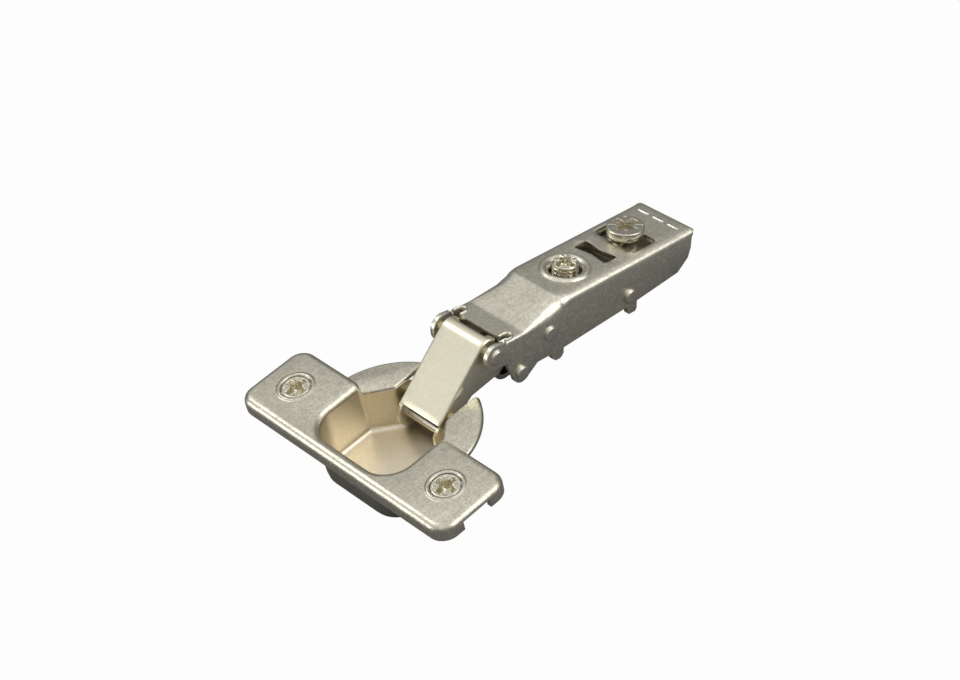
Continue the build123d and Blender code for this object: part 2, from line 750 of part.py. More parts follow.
# Release lever, its pin and its return spring
lever_pin_spot = (lever_pin_x, lever_pin_y)
lever_pin_half = base_half_width - pin_flush
cross_pin("lever_pin", arm_frame, lever_pin_spot, lever_pin_radius, lever_pin_half, lever_pin_radius, pin_flush)
with BuildPart() as release_lever:
    with BuildSketch(arm_frame):
        with Locations(lever_pin_spot):
            Circle(lever_eye_radius)
        Polygon(
            (lever_pin_x - lever_eye_radius / 2, lever_pin_y + lever_eye_radius * 0.7),
            (lever_tail_x, lever_tail_y + lever_sheet / 2),
            (lever_tail_x, lever_tail_y - lever_sheet / 2),
            (lever_pin_x + lever_eye_radius / 2, lever_pin_y - lever_eye_radius * 0.7),
            (lever_catch_x + lever_catch, lever_catch_y),
            (lever_catch_x, lever_catch_y),
            (lever_catch_x - lever_catch / 2, lever_catch_y + lever_catch * 0.6),
            (lever_catch_x + lever_catch / 2, lever_catch_y + lever_catch),
            align=None,
        )
    extrude(amount=lever_half_width, both=True)
    with BuildSketch(arm_frame):
        Polygon(
            (lever_catch_x + lever_catch, lever_catch_y + lever_catch),
            (lever_pin_x + lever_eye_radius, lever_pin_y - lever_sheet / 2),
            (lever_pin_x + lever_eye_radius, lever_pin_y + 2 * lever_eye_radius),
            (lever_catch_x + lever_catch, lever_pin_y + 2 * lever_eye_radius),
            align=None,
        )
        with Locations(lever_pin_spot):
            Circle(lever_spring_radius + lever_spring_wire / 2 + running_gap)
    extrude(amount=lever_half_width - lever_sheet, both=True, mode=Mode.SUBTRACT)
    with BuildSketch(arm_frame):
        with Locations(lever_pin_spot):
            Circle(lever_pin_radius + running_gap)
    extrude(amount=2 * lever_half_width, both=True, mode=Mode.SUBTRACT)
save(release_lever, "release_lever")

with BuildPart() as lever_spring:
    with BuildSketch(top_frame(arm_frame, lever_pin_x, lever_pin_y)):
        ridged_sleeve(lever_spring_radius, lever_spring_wire, lever_spring_turns)
    axis_foot = top_frame(arm_frame, lever_pin_x, lever_pin_y)
    revolve(axis=Axis(axis_foot.origin, (0, 1, 0)))
save(lever_spring, "lever_spring")
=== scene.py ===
"""Looks of a concealed cabinet hinge in satin nickel plate: pressed sheet, rivets, screws and springs.

The pieces are surfaces worked out in millimetres, in the frame of the CAD part, and built in metres. The door
face is z = 0 and the arm points along +X. A plan piece has (x, y, z) points. A piece on a link or on the arm
has (along, lateral, out) points, in a frame that starts at one of the linkage's pins.
"""
import math

import bmesh
import bpy
import numpy as np
from mathutils import Matrix, Vector


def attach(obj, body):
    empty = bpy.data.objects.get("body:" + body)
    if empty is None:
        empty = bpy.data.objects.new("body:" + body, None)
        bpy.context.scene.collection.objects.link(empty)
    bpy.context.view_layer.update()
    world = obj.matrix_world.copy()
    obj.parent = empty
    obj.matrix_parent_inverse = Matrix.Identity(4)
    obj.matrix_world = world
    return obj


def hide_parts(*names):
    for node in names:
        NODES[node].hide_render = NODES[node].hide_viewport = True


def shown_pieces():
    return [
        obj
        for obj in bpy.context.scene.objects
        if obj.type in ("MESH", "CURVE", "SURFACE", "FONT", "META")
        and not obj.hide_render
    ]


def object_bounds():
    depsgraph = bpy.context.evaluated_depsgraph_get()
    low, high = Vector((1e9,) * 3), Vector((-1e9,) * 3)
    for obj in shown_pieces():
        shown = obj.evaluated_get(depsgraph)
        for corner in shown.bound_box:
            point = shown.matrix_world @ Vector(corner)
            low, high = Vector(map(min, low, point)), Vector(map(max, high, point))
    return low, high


MM = 0.001
QUARTER = math.pi / 2

# Camera of the photograph: place, turn and lens
CAMERA_SPOT = Vector((-170.03, -279.11, 319.41)) * MM
CAMERA_TURN = Vector((2.118, -0.9527, 0.1961))
LENS = 80.25
SENSOR = 36.0

# Cup, from above
FLANGE_FRONT = -15.9
FLANGE_BACK = 3.6
FLANGE_HALF = 33.05
FLANGE_TOP = 3.7
FLANGE_CORNER = 3.9
FLANGE_ROLL = 1.7
CUP_SHEET = 1.2
END_GAP_HALF = 3.75
RIM_RADIUS = 19.8
RIM_TOP = 1.3
RIM_ROLL = 0.7
CORNER_ROUND = 6.0
MOUTH_FRONT = -12.5
MOUTH_FRONT_HALF = 9.4
SHOULDER = -8.5
POT_HALF = 13.0
POT_SIDE_END = 2.6
CHANNEL_START = 8.4
CHANNEL_HALF = 8.2
CHANNEL_END = 13.4
CHANNEL_WALL_TOP = -4.4
POT_DEPTH = 9.9
POT_DRAFT = math.radians(3)
POT_FILLET = 1.5
POT_WALL_TOP = FLANGE_TOP - FLANGE_ROLL + 0.1
MOUTH_END_ROUND = 1.8
RIM_TIP_TURN = 6.0
SCREW_X = -6.0
SCREW_Y = 24.0
SCREW_HOLE = 3.6
SCREW_HEAD = 3.3

# Pins of the linkage, in the plane of the hinge's movement
PIN_P = (9.2, -5.5)
PIN_A = (24.6, 7.1)
PIN_B = (30.3, -2.1)
LINK_SLOPE = 36.1
ARM_SLOPE = -13.1

# Outer link
LINK_HALF = 6.4
LINK_SHEET = 1.0
LINK_TOP = 4.38
LINK_START = 1.05
LINK_BEND = 3.3
LINK_ROLL = 0.6
LINK_WINDOW = 2.6
LINK_WINDOW_HALF = 4.6

# Arm
ARM_HALF = 8.9
ARM_SHEET = 1.15
ARM_TOP = 5.67
SADDLE_UNDER = 1.8
ARM_LENGTH = 63.6
LIP_FRONT = 3.1
LIP_BACK = 8.2
LIP_TOP = 2.55
FOLD = 20.0
EAR_RADIUS = 3.0
RELIEF_Y = 7.1
REAR_ROLL = 1.5
REAR_CORNER = 2.2
OVERLAY_X = 29.592
DEPTH_X = 48.907
WAIST_X = (OVERLAY_X + DEPTH_X) / 2
GRIP_X = 60.0
GUIDE = (16.3, -1.4)
TILT = (41.807, -3.2)
DISH_RADIUS = 4.1
RELIEF_LENGTH = 2.4
RELIEF_HALF = 0.85
RIB_SPACING = 4.6
STUD_RADIUS = 2.75
DEPTH_HEAD = 4.4

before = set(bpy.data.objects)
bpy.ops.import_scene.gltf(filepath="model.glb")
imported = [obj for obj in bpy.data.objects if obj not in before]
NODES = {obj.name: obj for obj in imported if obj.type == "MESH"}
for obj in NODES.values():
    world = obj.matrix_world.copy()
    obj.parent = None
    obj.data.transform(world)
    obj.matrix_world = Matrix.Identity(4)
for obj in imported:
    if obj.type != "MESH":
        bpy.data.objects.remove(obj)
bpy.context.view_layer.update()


def side_axes(pin, slope):
    """Frame of a link or of the arm: its origin, and its directions along, lateral and out."""
    turn = math.radians(slope)
    along = (math.cos(turn), 0, math.sin(turn))
    out = (-math.sin(turn), 0, math.cos(turn))
    return np.array((pin[0], 0, pin[1])), np.array((along, (0, 1, 0), out))


BODY = (np.zeros(3), np.eye(3))
ARM = side_axes(PIN_A, ARM_SLOPE)
LINK = side_axes(PIN_P, LINK_SLOPE)


def to_axes(axes, x, z):
    """(along, out) of a point of the hinge's plane in the frame of a link or of the arm."""
    along, _, out = axes[1] @ (np.array((x, 0, z)) - axes[0])
    return along, out


def rounded_loop(corners, radii, steps=7):
    """Closed outline with rounded corners: each corner becomes an arc between its two tangent points."""
    corner = np.array(corners, float)
    radius = np.broadcast_to(np.array(radii, float), len(corner))
    back = np.roll(corner, 1, axis=0) - corner
    ahead = np.roll(corner, -1, axis=0) - corner
    back /= np.linalg.norm(back, axis=1, keepdims=True)
    ahead /= np.linalg.norm(ahead, axis=1, keepdims=True)
    half = np.arccos(np.clip((back * ahead).sum(1), -1, 1)) / 2
    bisector = back + ahead
    bisector /= np.linalg.norm(bisector, axis=1, keepdims=True)
    centre = corner + bisector * (radius / np.sin(half))[:, None]
    side = np.sign(back[:, 0] * ahead[:, 1] - back[:, 1] * ahead[:, 0])[:, None]
    angle = np.linspace(-1, 1, steps)[None, :] * (QUARTER - half)[:, None] * -side
    out = -bisector[:, None, :]
    cosine, sine = np.cos(angle), np.sin(angle)
    turned = (out[..., 0] * cosine - out[..., 1] * sine, out[..., 0] * sine + out[..., 1] * cosine)
    return (centre[:, None, :] + radius[:, None, None] * np.stack(turned, axis=-1)).reshape(-1, 2)


def inset(loop, distance):
    """A counter-clockwise loop moved inwards, along the mean normal of each point's two edges."""
    ahead = np.roll(loop, -1, axis=0) - loop
    ahead /= np.linalg.norm(ahead, axis=1, keepdims=True)
    normal = np.stack((-ahead[:, 1], ahead[:, 0]), axis=-1)
    before = np.roll(normal, 1, axis=0)
    return loop + distance * (normal + before) / (1 + (normal * before).sum(1, keepdims=True))


def box(half_x, half_y):
    """Corners of a rectangle about the origin, counter-clockwise."""
    return [(half_x, half_y), (-half_x, half_y), (-half_x, -half_y), (half_x, -half_y)]


def mirrored(points):
    """Points on the other side of the middle plane, in reverse order."""
    return [(x, -y) for x, y in reversed(points)]


def stack(loop, profile):
    """Rings of one loop, each moved inwards and to a height: z = height over the loop's plane."""
    rings = [np.column_stack((inset(loop, back), np.full(len(loop), height))) for back, height in profile]
    return np.array(rings)


def roll(radius, top, steps=6):
    """Rounded edge, from the flat top outwards and down: inset r(1 - sin t), drop r(1 - cos t)."""
    turn = np.linspace(0, QUARTER, steps)
    return np.column_stack((radius * (1 - np.sin(turn)), top - radius * (1 - np.cos(turn))))


def quads(rows, columns, wrap):
    """Corner numbers of the quads between neighbouring rows and columns of a grid."""
    number = np.arange(rows * columns).reshape(rows, columns)
    if wrap:
        number = np.hstack((number, number[:, :1]))
    corners = (number[:-1, :-1], number[:-1, 1:], number[1:, 1:], number[1:, :-1])
    return np.stack(corners, axis=-1).reshape(-1, 4)


def loft(rings, wrap=True, caps=""):
    """Points and faces of a surface through rings of equal length, with flat faces on its named ends."""
    rings = np.asarray(rings, float)
    rows, columns = rings.shape[:2]
    faces = [quads(rows, columns, wrap)]
    if "first" in caps:
        faces.append(np.arange(columns)[None, :])
    if "last" in caps:
        faces.append(np.arange((rows - 1) * columns, rows * columns)[None, :])
    return rings.reshape(-1, 3), faces


def prism(loop, top, bottom):
    """Closed upright body over a loop, between two heights."""
    return loft(stack(loop, ((0, top), (0, bottom))), caps="first last")


def revolve(profile, centre=(0, 0), steps=64):
    """A (radius, height) profile turned about an upright axis at centre."""
    turn = np.linspace(0, 2 * math.pi, steps, endpoint=False)
    radius, height = np.array(profile, float).T
    x = centre[0] + radius[:, None] * np.cos(turn)
    y = centre[1] + radius[:, None] * np.sin(turn)
    return loft(np.stack((x, y, np.broadcast_to(height[:, None], x.shape)), axis=-1))


def patch(*edges):
    """One flat face whose corners are the given points in turn."""
    points = np.vstack(edges)
    return points, [np.arange(len(points))[None, :]]


def make_piece(name, parts, body, axes=BODY, crease=38):
    """One object of several surfaces, placed by its axes, welded, and smooth up to the crease angle."""
    starts = np.cumsum([0] + [len(points) for points, _ in parts[:-1]])
    points = np.vstack([points for points, _ in parts])
    faces = []
    for (_, blocks), start in zip(parts, starts):
        for block in blocks:
            faces += (block + start).tolist()
    mesh = bpy.data.meshes.new(name)
    mesh.from_pydata(((axes[0] + points @ axes[1]) * MM).tolist(), [], faces)
    draft = bmesh.new()
    draft.from_mesh(mesh)
    bmesh.ops.remove_doubles(draft, verts=draft.verts, dist=0.002 * MM)
    bmesh.ops.recalc_face_normals(draft, faces=draft.faces)
    draft.to_mesh(mesh)
    draft.free()
    piece = bpy.data.objects.new(name, mesh)
    bpy.context.scene.collection.objects.link(piece)
    finish_mesh(piece, crease)
    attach(piece, body)
    return piece


def finish_mesh(piece, crease):
    """Smooth shading, broken where the surface folds by more than the crease angle."""
    mesh = piece.data
    mesh.polygons.foreach_set("use_smooth", [True] * len(mesh.polygons))
    mesh.set_sharp_from_angle(angle=math.radians(crease))


def carve(piece, cutters, axes=BODY, crease=38):
    """Cuts closed surfaces out of a piece and keeps the result as its mesh."""
    tools = []
    for number, cutter in enumerate(cutters):
        tool = make_piece(f"{piece.name}_cutter_{number}", [cutter], "cup", axes)
        tools.append(tool)
        cut = piece.modifiers.new("cut", "BOOLEAN")
        cut.operation = "DIFFERENCE"
        cut.solver = "EXACT"
        cut.object = tool
    view = bpy.context.evaluated_depsgraph_get()
    piece.data = bpy.data.meshes.new_from_object(piece.evaluated_get(view))
    piece.modifiers.clear()
    for tool in tools:
        bpy.data.objects.remove(tool)
    finish_mesh(piece, crease)


def soften(piece, width, crease=38):
    """Rounds the sheet's cut edges a little, and keeps the result as the piece's mesh."""
    bevel = piece.modifiers.new("soften", "BEVEL")
    bevel.width = width * MM
    bevel.segments = 2
    bevel.limit_method = "ANGLE"
    bevel.angle_limit = math.radians(45)
    bevel.use_clamp_overlap = True
    view = bpy.context.evaluated_depsgraph_get()
    piece.data = bpy.data.meshes.new_from_object(piece.evaluated_get(view))
    piece.modifiers.clear()
    finish_mesh(piece, crease)


def pressed_channel(path, normals, rolls, half, sheet, lower, steps=6):
    """Sheet bent into a channel: a plate along a path, rolled edges and side walls down to a lower outline.

    At station s the outer surface is path(s) - depth * normal(s). Over the rolled edge, for t from 0 to
    90 degrees, lateral = half - r(s)(1 - sin t) and depth = r(s)(1 - cos t). The inner surface has the same
    form, smaller by the sheet, with a roll of at most 0.8 mm that leaves the saddle its room.
    """
    turn = np.linspace(0, QUARTER, steps)
    outer_roll = np.asarray(rolls)[:, None]
    inner_roll = np.clip(outer_roll - sheet, 0.25, 0.8)

    def skin(radius, width, start):
        lateral = width - radius * (1 - np.sin(turn))
        depth = start + radius * (1 - np.cos(turn))
        flat = np.linspace(1, -1, 7)[1:-1] * lateral[:, :1]
        lateral = np.hstack((lateral[:, ::-1], flat, -lateral))
        depth = np.hstack((depth[:, ::-1], np.full_like(flat, start), depth))
        spot = path[:, None, :] - depth[..., None] * normals[:, None, :]
        return np.stack((spot[..., 0], lateral, spot[..., 1]), axis=-1)

    outer = skin(outer_roll, half, 0.0)
    inner = skin(inner_roll, half - sheet, sheet)
    parts = [loft(outer, wrap=False), loft(inner, wrap=False)]
    parts += [loft(np.stack((outer[end], inner[end])), wrap=False) for end in (0, -1)]
    for edge, sign in ((0, 1), (-1, -1)):
        rims = []
        for skin_points, width in ((outer, half), (inner, half - sheet)):
            wall = np.column_stack((lower[:, 0], np.full(len(lower), sign * width), lower[:, 1]))
            parts.append(patch(skin_points[:, edge], wall))
            rims.append(np.vstack((skin_points[-1:, edge], wall, skin_points[:1, edge])))
        parts.append(loft(np.stack(rims), wrap=False))
    return parts


def arc(centre, radius, start, end, steps=16):
    """Points of an arc, from start to end in degrees."""
    turn = np.radians(np.linspace(start, end, steps))
    return np.column_stack((centre[0] + radius * np.cos(turn), centre[1] + radius * np.sin(turn)))


def mouth_cap(x):
    """Height of the pot's wall: under the flange, under the rim, or at the low end of the channel."""
    behind = np.where(x < CHANNEL_END - 0.4, RIM_TOP - RIM_ROLL + 0.1, CHANNEL_WALL_TOP)
    return np.where(x < POT_SIDE_END + 0.2, POT_WALL_TOP, behind)


def pot_half_plan():
    """Corners of the pot and channel on the +Y side, from the front."""
    return [
        (MOUTH_FRONT, MOUTH_FRONT_HALF),
        (SHOULDER, POT_HALF),
        (POT_SIDE_END, POT_HALF),
        (CHANNEL_START, CHANNEL_HALF),
        (CHANNEL_END, CHANNEL_HALF),
    ]


def make_flange():
    """Flange with its mouth, two screw holes and a gap in the skirt at each end."""
    half = [(FLANGE_BACK, FLANGE_HALF), (FLANGE_FRONT, FLANGE_HALF)]
    mouth = [(FLANGE_BACK, POT_HALF), (SHOULDER, POT_HALF), (MOUTH_FRONT, MOUTH_FRONT_HALF)]
    corners = half + mirrored(half) + mirrored(mouth[::-1]) + mouth[::-1]
    radii = [FLANGE_CORNER] * 4 + [MOUTH_END_ROUND] + [CORNER_ROUND] * 4 + [MOUTH_END_ROUND]
    under = FLANGE_TOP - CUP_SHEET
    profile = np.vstack((roll(FLANGE_ROLL, FLANGE_TOP), ((0, 0), (CUP_SHEET, 0), (CUP_SHEET, under))))
    plan = rounded_loop(corners, radii)
    flange = make_piece("cup_flange", [loft(stack(plan, profile), caps="first last")], "cup")
    holes = []
    for side in (-1, 1):
        hole = rounded_loop(box(SCREW_HOLE, SCREW_HOLE), SCREW_HOLE - 0.012, 12)
        holes.append(prism(hole + (SCREW_X, side * SCREW_Y), FLANGE_TOP + 2, under - 2))
        gap = np.array(box(END_GAP_HALF, 4)) + ((FLANGE_FRONT + FLANGE_BACK) / 2, side * FLANGE_HALF)
        holes.append(prism(gap, under - 0.3, -1))
    carve(flange, holes)
    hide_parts("cup")


def make_rim():
    """Round rim behind the flange: a sector on each side of the channel, with rolled edges."""
    tip = math.sqrt(RIM_RADIUS**2 - CHANNEL_HALF**2)
    start = FLANGE_BACK - CUP_SHEET
    first = math.degrees(math.asin(CHANNEL_HALF / RIM_RADIUS)) + RIM_TIP_TURN
    edge = arc((0, 0), RIM_RADIUS, first, math.degrees(math.acos(start / RIM_RADIUS)), 40)
    inner = [edge[0], edge[-1], (start, POT_HALF), (CHANNEL_START, CHANNEL_HALF), (tip, CHANNEL_HALF)]
    steps = 7
    corners = rounded_loop(inner, (0.01, 0.01, 0.6, 1.6, 0.9), steps)[2 * steps:]
    sector = np.vstack((edge, corners))
    profile = np.vstack((roll(RIM_ROLL, RIM_TOP), ((0, 0.2), (0.2, 0))))
    parts = []
    for side in (1, -1):
        loop = sector * (1, side)
        parts.append(loft(stack(loop[::side], profile), caps="first last"))
    make_piece("cup_rim", parts, "cup")


def make_pot():
    """Inside of the pot and channel, with drafted walls and a fillet on the floor, and their outside."""
    half = pot_half_plan()
    rounds = (CORNER_ROUND, CORNER_ROUND, 2.3, 1.6, 2.6)
    plan = rounded_loop(half + mirrored(half), rounds + rounds[::-1])[::-1]
    turn = np.linspace(0, QUARTER, 7)[1:]
    wall = np.linspace(POT_WALL_TOP, POT_FILLET - POT_DEPTH, 8)
    lean = (POT_WALL_TOP + 0.1 - wall) * math.tan(POT_DRAFT)
    depth = np.concatenate((wall, POT_FILLET * (1 - np.sin(turn)) - POT_DEPTH))
    back = np.concatenate((lean, lean[-1] + POT_FILLET * (1 - np.cos(turn))))
    rings = stack(plan, np.column_stack((back, depth)))
    rings[..., 2] = np.minimum(rings[..., 2], mouth_cap(plan[:, 0]))
    make_piece("cup_pot", [loft(rings, caps="last")], "cup", crease=34)

    steps = ((-1.2, RIM_TOP - 0.7), (-0.95, -8.2), (-0.75, -9.6), (-0.2, -10.6), (0.7, -11.0), (1.4, -11.1))
    shell = stack(plan, steps)
    shell[..., 2] = np.minimum(shell[..., 2], mouth_cap(shell[..., 0]))
    make_piece("cup_shell", [loft(shell, caps="last")], "cup", crease=34)


def make_screw_rings():
    """Pressed bead round each screw in the flange."""
    bead = [(3.42, -0.9), (3.42, 0.02), (3.55, 0.16), (3.78, 0.28), (4.02, 0.28), (4.24, 0.14)]
    bead = np.array(bead + [(4.4, 0.02), (4.7, -0.02)]) + (0, FLANGE_TOP)
    rings = [revolve(bead, (SCREW_X, side * SCREW_Y)) for side in (-1, 1)]
    make_piece("cup_screw_rings", rings, "cup")


def make_outer_link():
    """Outer link: a plate that curls over pin A, with two skirts and a window for the spring; its bright tone
    is painted light.
    """
    ax, ay = to_axes(LINK, *PIN_A)
    steps = 12
    flat = np.column_stack((np.linspace(LINK_START, ax, steps), np.full(steps, LINK_TOP)))
    turn = np.radians(np.linspace(90, 0, steps))
    curl = np.column_stack((ax + LINK_BEND * np.cos(turn), ay + (LINK_TOP - ay) * np.sin(turn)))
    upright = np.tile((0.0, 1.0), (steps, 1))
    normals = np.vstack((upright, np.column_stack((np.cos(turn), np.sin(turn)))[1:]))
    path = np.vstack((flat, curl[1:]))
    rolls = np.full(len(path), LINK_ROLL)
    rolls[0] = 0.5
    tail = [(ax + 2.6, ay - 1.5), (ax + 1.2, ay - 6.1), (ax - 1.0, ay - 7.1), (ax - 3.2, ay - 6.8)]
    neck = [(ax / 2, -0.9), (5.6, -0.2), (2.0, -2.2)]
    nose = arc((0, 0), 2.5, -75, -140, 6).tolist()
    front = [(-3.0, -1.2), (-3.3, -0.2), (-3.3, 1.4), (-1.8, 3.2), (0.4, 3.85)]
    lower = np.array(tail + neck + nose + front)
    parts = pressed_channel(path, normals, rolls, LINK_HALF, LINK_SHEET, lower)
    link = make_piece("outer_link_plate", parts, "outer_link", LINK)
    reach = (2 * LINK_BEND - LINK_WINDOW) / 2
    window = rounded_loop(box(reach, LINK_WINDOW_HALF), 0.5, 4) + (ax + LINK_WINDOW + reach, 0)
    carve(link, [prism(window, LINK_TOP + 3, ay - 4)], LINK)
    soften(link, 0.1)
    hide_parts("outer_link")


def arm_top(x):
    """Height of the arm's top: a flat lip, a slope and a long flat, with the two folds eased over 0.7 mm."""
    shift = np.linspace(-0.35, 0.35, 9)[:, None]
    return np.interp(x + shift, (LIP_BACK, FOLD), (LIP_TOP, ARM_TOP)).mean(0)


def arm_path():
    """Stations along the arm's top and their heights, with the rear end rolled down."""
    over = np.linspace(0.25, 1.35, 7)
    tail = ARM_LENGTH - REAR_ROLL
    front = np.linspace(LIP_FRONT, FOLD + 3, 110)
    x = np.concatenate((front, np.linspace(FOLD + 4, tail, 30), tail + REAR_ROLL * np.sin(over)))
    top = arm_top(x)
    top[-len(over):] -= REAR_ROLL * (1 - np.cos(over))
    return x, top


def arm_lower():
    """Lower outline of the arm's walls, from the rear: tabs at the rear and front rivets, ears B and A."""
    bx, by = to_axes(ARM, *PIN_B)
    rear = [(62.0, 4.0), (61.9, 3.7), (61.75, 1.27), (60.9, -1.13), (57.6, -3.8)]
    tilt_tab = [(44.0, -5.3), (44.0, -7.3), (43.5, -7.9), (41.5, -7.9), (41.0, -7.3), (41.0, -5.65)]
    guide_tab = [(20.5, -7.05), (20.5, -8.5), (19.6, -9.4), (18.1, -9.4), (17.1, -8.6), (16.9, -7.1)]
    neck = [(12.4, -7.1), (bx + 2.3, by - 1.3)]
    ear_b = arc((bx, by), 2.4, -40, -170, 12).tolist()
    between = [(3.5, -4.4), (3.2, -3.1), (-0.6, -3.1), (-1.7, -2.85), (-2.4, -2.3), (-2.85, -1.4)]
    ear_a = arc((0, 0), EAR_RADIUS, -180, -264, 14).tolist()
    return np.array(rear + tilt_tab + guide_tab + neck + ear_b + between + ear_a + [(2.2, 2.75)])


def arm_cutters():
    """Hourglass hole, long slot, dish hole, two relief slots in the lip and two rear corners."""
    waist = [(1.3, 0), (2.1, 4.9), (-2.1, 4.9), (-1.3, 0), (-2.1, -4.9), (2.1, -4.9)]
    dish = arc((0, 0), DISH_RADIUS, 0, 360, 49)[:-1]
    relief = rounded_loop(box(RELIEF_LENGTH, RELIEF_HALF), RELIEF_HALF - 0.01)
    corner = np.vstack((arc((0, 0), REAR_CORNER, 0, 90, 9), ((0, 9), (9, 9), (9, 0)))) - REAR_CORNER
    places = [
        (rounded_loop(waist, 0.7, 4), WAIST_X, 0),
        (rounded_loop(box(3.9, 6.4), 1.3), DEPTH_X, 0),
        (dish, OVERLAY_X, 0),
        (relief, LIP_FRONT, RELIEF_Y),
        (relief, LIP_FRONT, -RELIEF_Y),
        (corner, ARM_LENGTH, ARM_HALF),
        ((corner * (1, -1))[::-1], ARM_LENGTH, -ARM_HALF),
    ]
    return [prism(loop + (x, y), ARM_TOP + 1, LIP_TOP - 2.4) for loop, x, y in places]


def relief_bead(side):
    """Rolled bead round the closed end of a relief slot in the lip."""
    bead = [(0.8, -0.5), (0.84, 0.08), (0.98, 0.28), (1.14, 0.34), (1.3, 0.26), (1.42, 0.02), (1.46, -0.35)]
    bead = np.array(bead)
    radius = bead[:, :1]
    turn = np.linspace(-QUARTER, QUARTER, 16)
    start = np.full((len(bead), 1), LIP_FRONT)
    x = np.hstack((start, LIP_FRONT + RELIEF_LENGTH - RELIEF_HALF + 0.01 + radius * np.cos(turn), start))
    y = radius * np.sin(turn)
    y = np.hstack((y[:, :1], y, y[:, -1:])) + side * RELIEF_Y
    z = np.broadcast_to(LIP_TOP + bead[:, 1:], x.shape)
    return loft(np.stack((x, y, z), axis=-1), wrap=False)


def make_arm():
    """Arm: a pressed channel whose top edges roll widest on the slope, with ears, holes and presswork."""
    x, top = arm_path()
    tilt = np.gradient(top, x)
    normals = np.column_stack((-tilt, np.ones_like(x))) / np.sqrt(1 + tilt**2)[:, None]
    rolls = np.interp(x, (4, 8, 12, 16, 19, 22, 60, ARM_LENGTH), (0.8, 0.9, 2.2, 3.4, 3.2, 1.8, 1.6, 1.2))
    parts = pressed_channel(np.column_stack((x, top)), normals, rolls, ARM_HALF, ARM_SHEET, arm_lower())
    arm = make_piece("arm_channel", parts, "arm", ARM)
    carve(arm, arm_cutters(), ARM)
    soften(arm, 0.12)
    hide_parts("arm")

    ring = [(6.05, -0.02), (5.9, 0.12), (5.7, 0.36), (5.4, 0.49), (5.0, 0.5), (4.6, 0.4)]
    ring += [(4.2, 0.1), (3.9, -0.3), (3.7, -0.7), (3.6, -1.15), (4.2, -1.15)]
    parts = [revolve(np.array(ring) + (0, ARM_TOP), (OVERLAY_X, 0), 96)]
    parts += [relief_bead(side) for side in (-1, 1)]
    rib = rounded_loop(box(0.45, 1.7), 0.44)
    profile = np.array(((0.4, 0.25), (0.3, 0.24), (0.15, 0.18), (0, 0))) + (0, ARM_TOP - 0.01)
    for row in (-1, 0, 1):
        parts.append(loft(stack(rib + (GRIP_X, row * RIB_SPACING), profile), caps="first"))
    make_piece("arm_presswork", parts, "arm", ARM)


def soft_edge(distance, edge, ease):
    """1 inside an edge and 0 outside, with a straight ramp of the given width."""
    return np.clip((edge - distance) / ease + 0.5, 0, 1)


def screw_face(radius, top, depth, arm_half, arm_width, ticks):
    """Face of a screw head: z = top - depth * cross - tick grooves, with a small round at the rim.

    The cross is the largest of two soft boxes along x and y and a soft disc at their middle. The grooves lie
    on the diagonals, between the two radii of ticks.
    """
    bevel = 0.3
    rim = radius - bevel * (1 - np.sin(np.linspace(0.2, QUARTER, 5)))
    rings = np.concatenate(([0.02], np.linspace(0.12, radius - bevel, 44), rim))
    turn = np.linspace(0, 2 * math.pi, 240, endpoint=False)
    x = rings[:, None] * np.cos(turn)
    y = rings[:, None] * np.sin(turn)
    reach = rings[:, None] + 0 * x
    one = soft_edge(np.abs(x), arm_half, 0.9) * soft_edge(np.abs(y), arm_width, 0.4)
    two = soft_edge(np.abs(y), arm_half, 0.9) * soft_edge(np.abs(x), arm_width, 0.4)
    heart = soft_edge(reach, arm_width * 1.9, 0.5)
    across = np.minimum(np.abs(x - y), np.abs(x + y)) / math.sqrt(2)
    between = soft_edge(reach, ticks[1], 0.3) * (1 - soft_edge(reach, ticks[0], 0.3))
    groove = soft_edge(across, 0.26, 0.24) * between
    z = top - depth * np.maximum(np.maximum(one, two), heart) - 0.3 * groove
    drop = np.maximum(0, rings - (radius - bevel))
    z = z - (bevel - np.sqrt(np.maximum(0, bevel**2 - drop**2)))[:, None]
    return loft(np.stack((x, y, z), axis=-1))


def threaded(sections, pitch, height, steps=48, rows_a_turn=14):
    """Side of a screw: (z, radius, thread) sections joined by straight lines, with a helical ridge.

    r = R(z) - thread(z) * height * (1 - w), for z down the axis, where w is a flat-topped triangle wave of
    z / pitch + turn.
    """
    z_mark, r_mark, share = np.array(sections, float).T
    count = int(abs(z_mark[0] - z_mark[-1]) / pitch * rows_a_turn) + 2
    z = np.sort(np.concatenate((np.linspace(z_mark[0], z_mark[-1], count), z_mark)))[::-1]
    turn = np.linspace(0, 2 * math.pi, steps, endpoint=False)
    order = np.argsort(z_mark, kind="stable")
    marks = z_mark[order] + np.arange(len(order)) * 1e-6
    radius = np.interp(z, marks, r_mark[order])[:, None]
    amount = np.interp(z, marks, share[order])[:, None]
    phase = (z[:, None] / pitch + turn / (2 * math.pi)) % 1
    wave = np.clip(1.6 - np.abs(phase - 0.5) * 4.4, 0, 1)
    radius = radius - amount * height * (1 - wave)
    rings = np.stack((radius * np.cos(turn), radius * np.sin(turn), z[:, None] + 0 * turn), axis=-1)
    return loft(rings, caps="last")


def make_flange_screws():
    """The two wood screws of the flange, each with a crossed face and a threaded shank."""
    head = FLANGE_TOP + 0.05
    tip = head - 13
    outline = [(head - 0.3, SCREW_HEAD, 0), (head - 0.5, 3.28, 0), (head - 2.0, 1.75, 0), (0.9, 1.75, 0)]
    outline += [(0.7, 1.95, 1), (tip + 3, 1.95, 1), (tip, 0.25, 0)]
    for side, name in ((1, "left"), (-1, "right")):
        axes = (np.array((SCREW_X, side * SCREW_Y, 0)), np.eye(3))
        face = screw_face(SCREW_HEAD, head, 1.9, 2.2, 0.55, (1.5, 2.8))
        parts = [face, threaded(outline, 1.6, 0.45)]
        screw = make_piece(f"flange_screw_{name}", parts, "cup", axes)
        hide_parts(f"cup_screw_{name}")


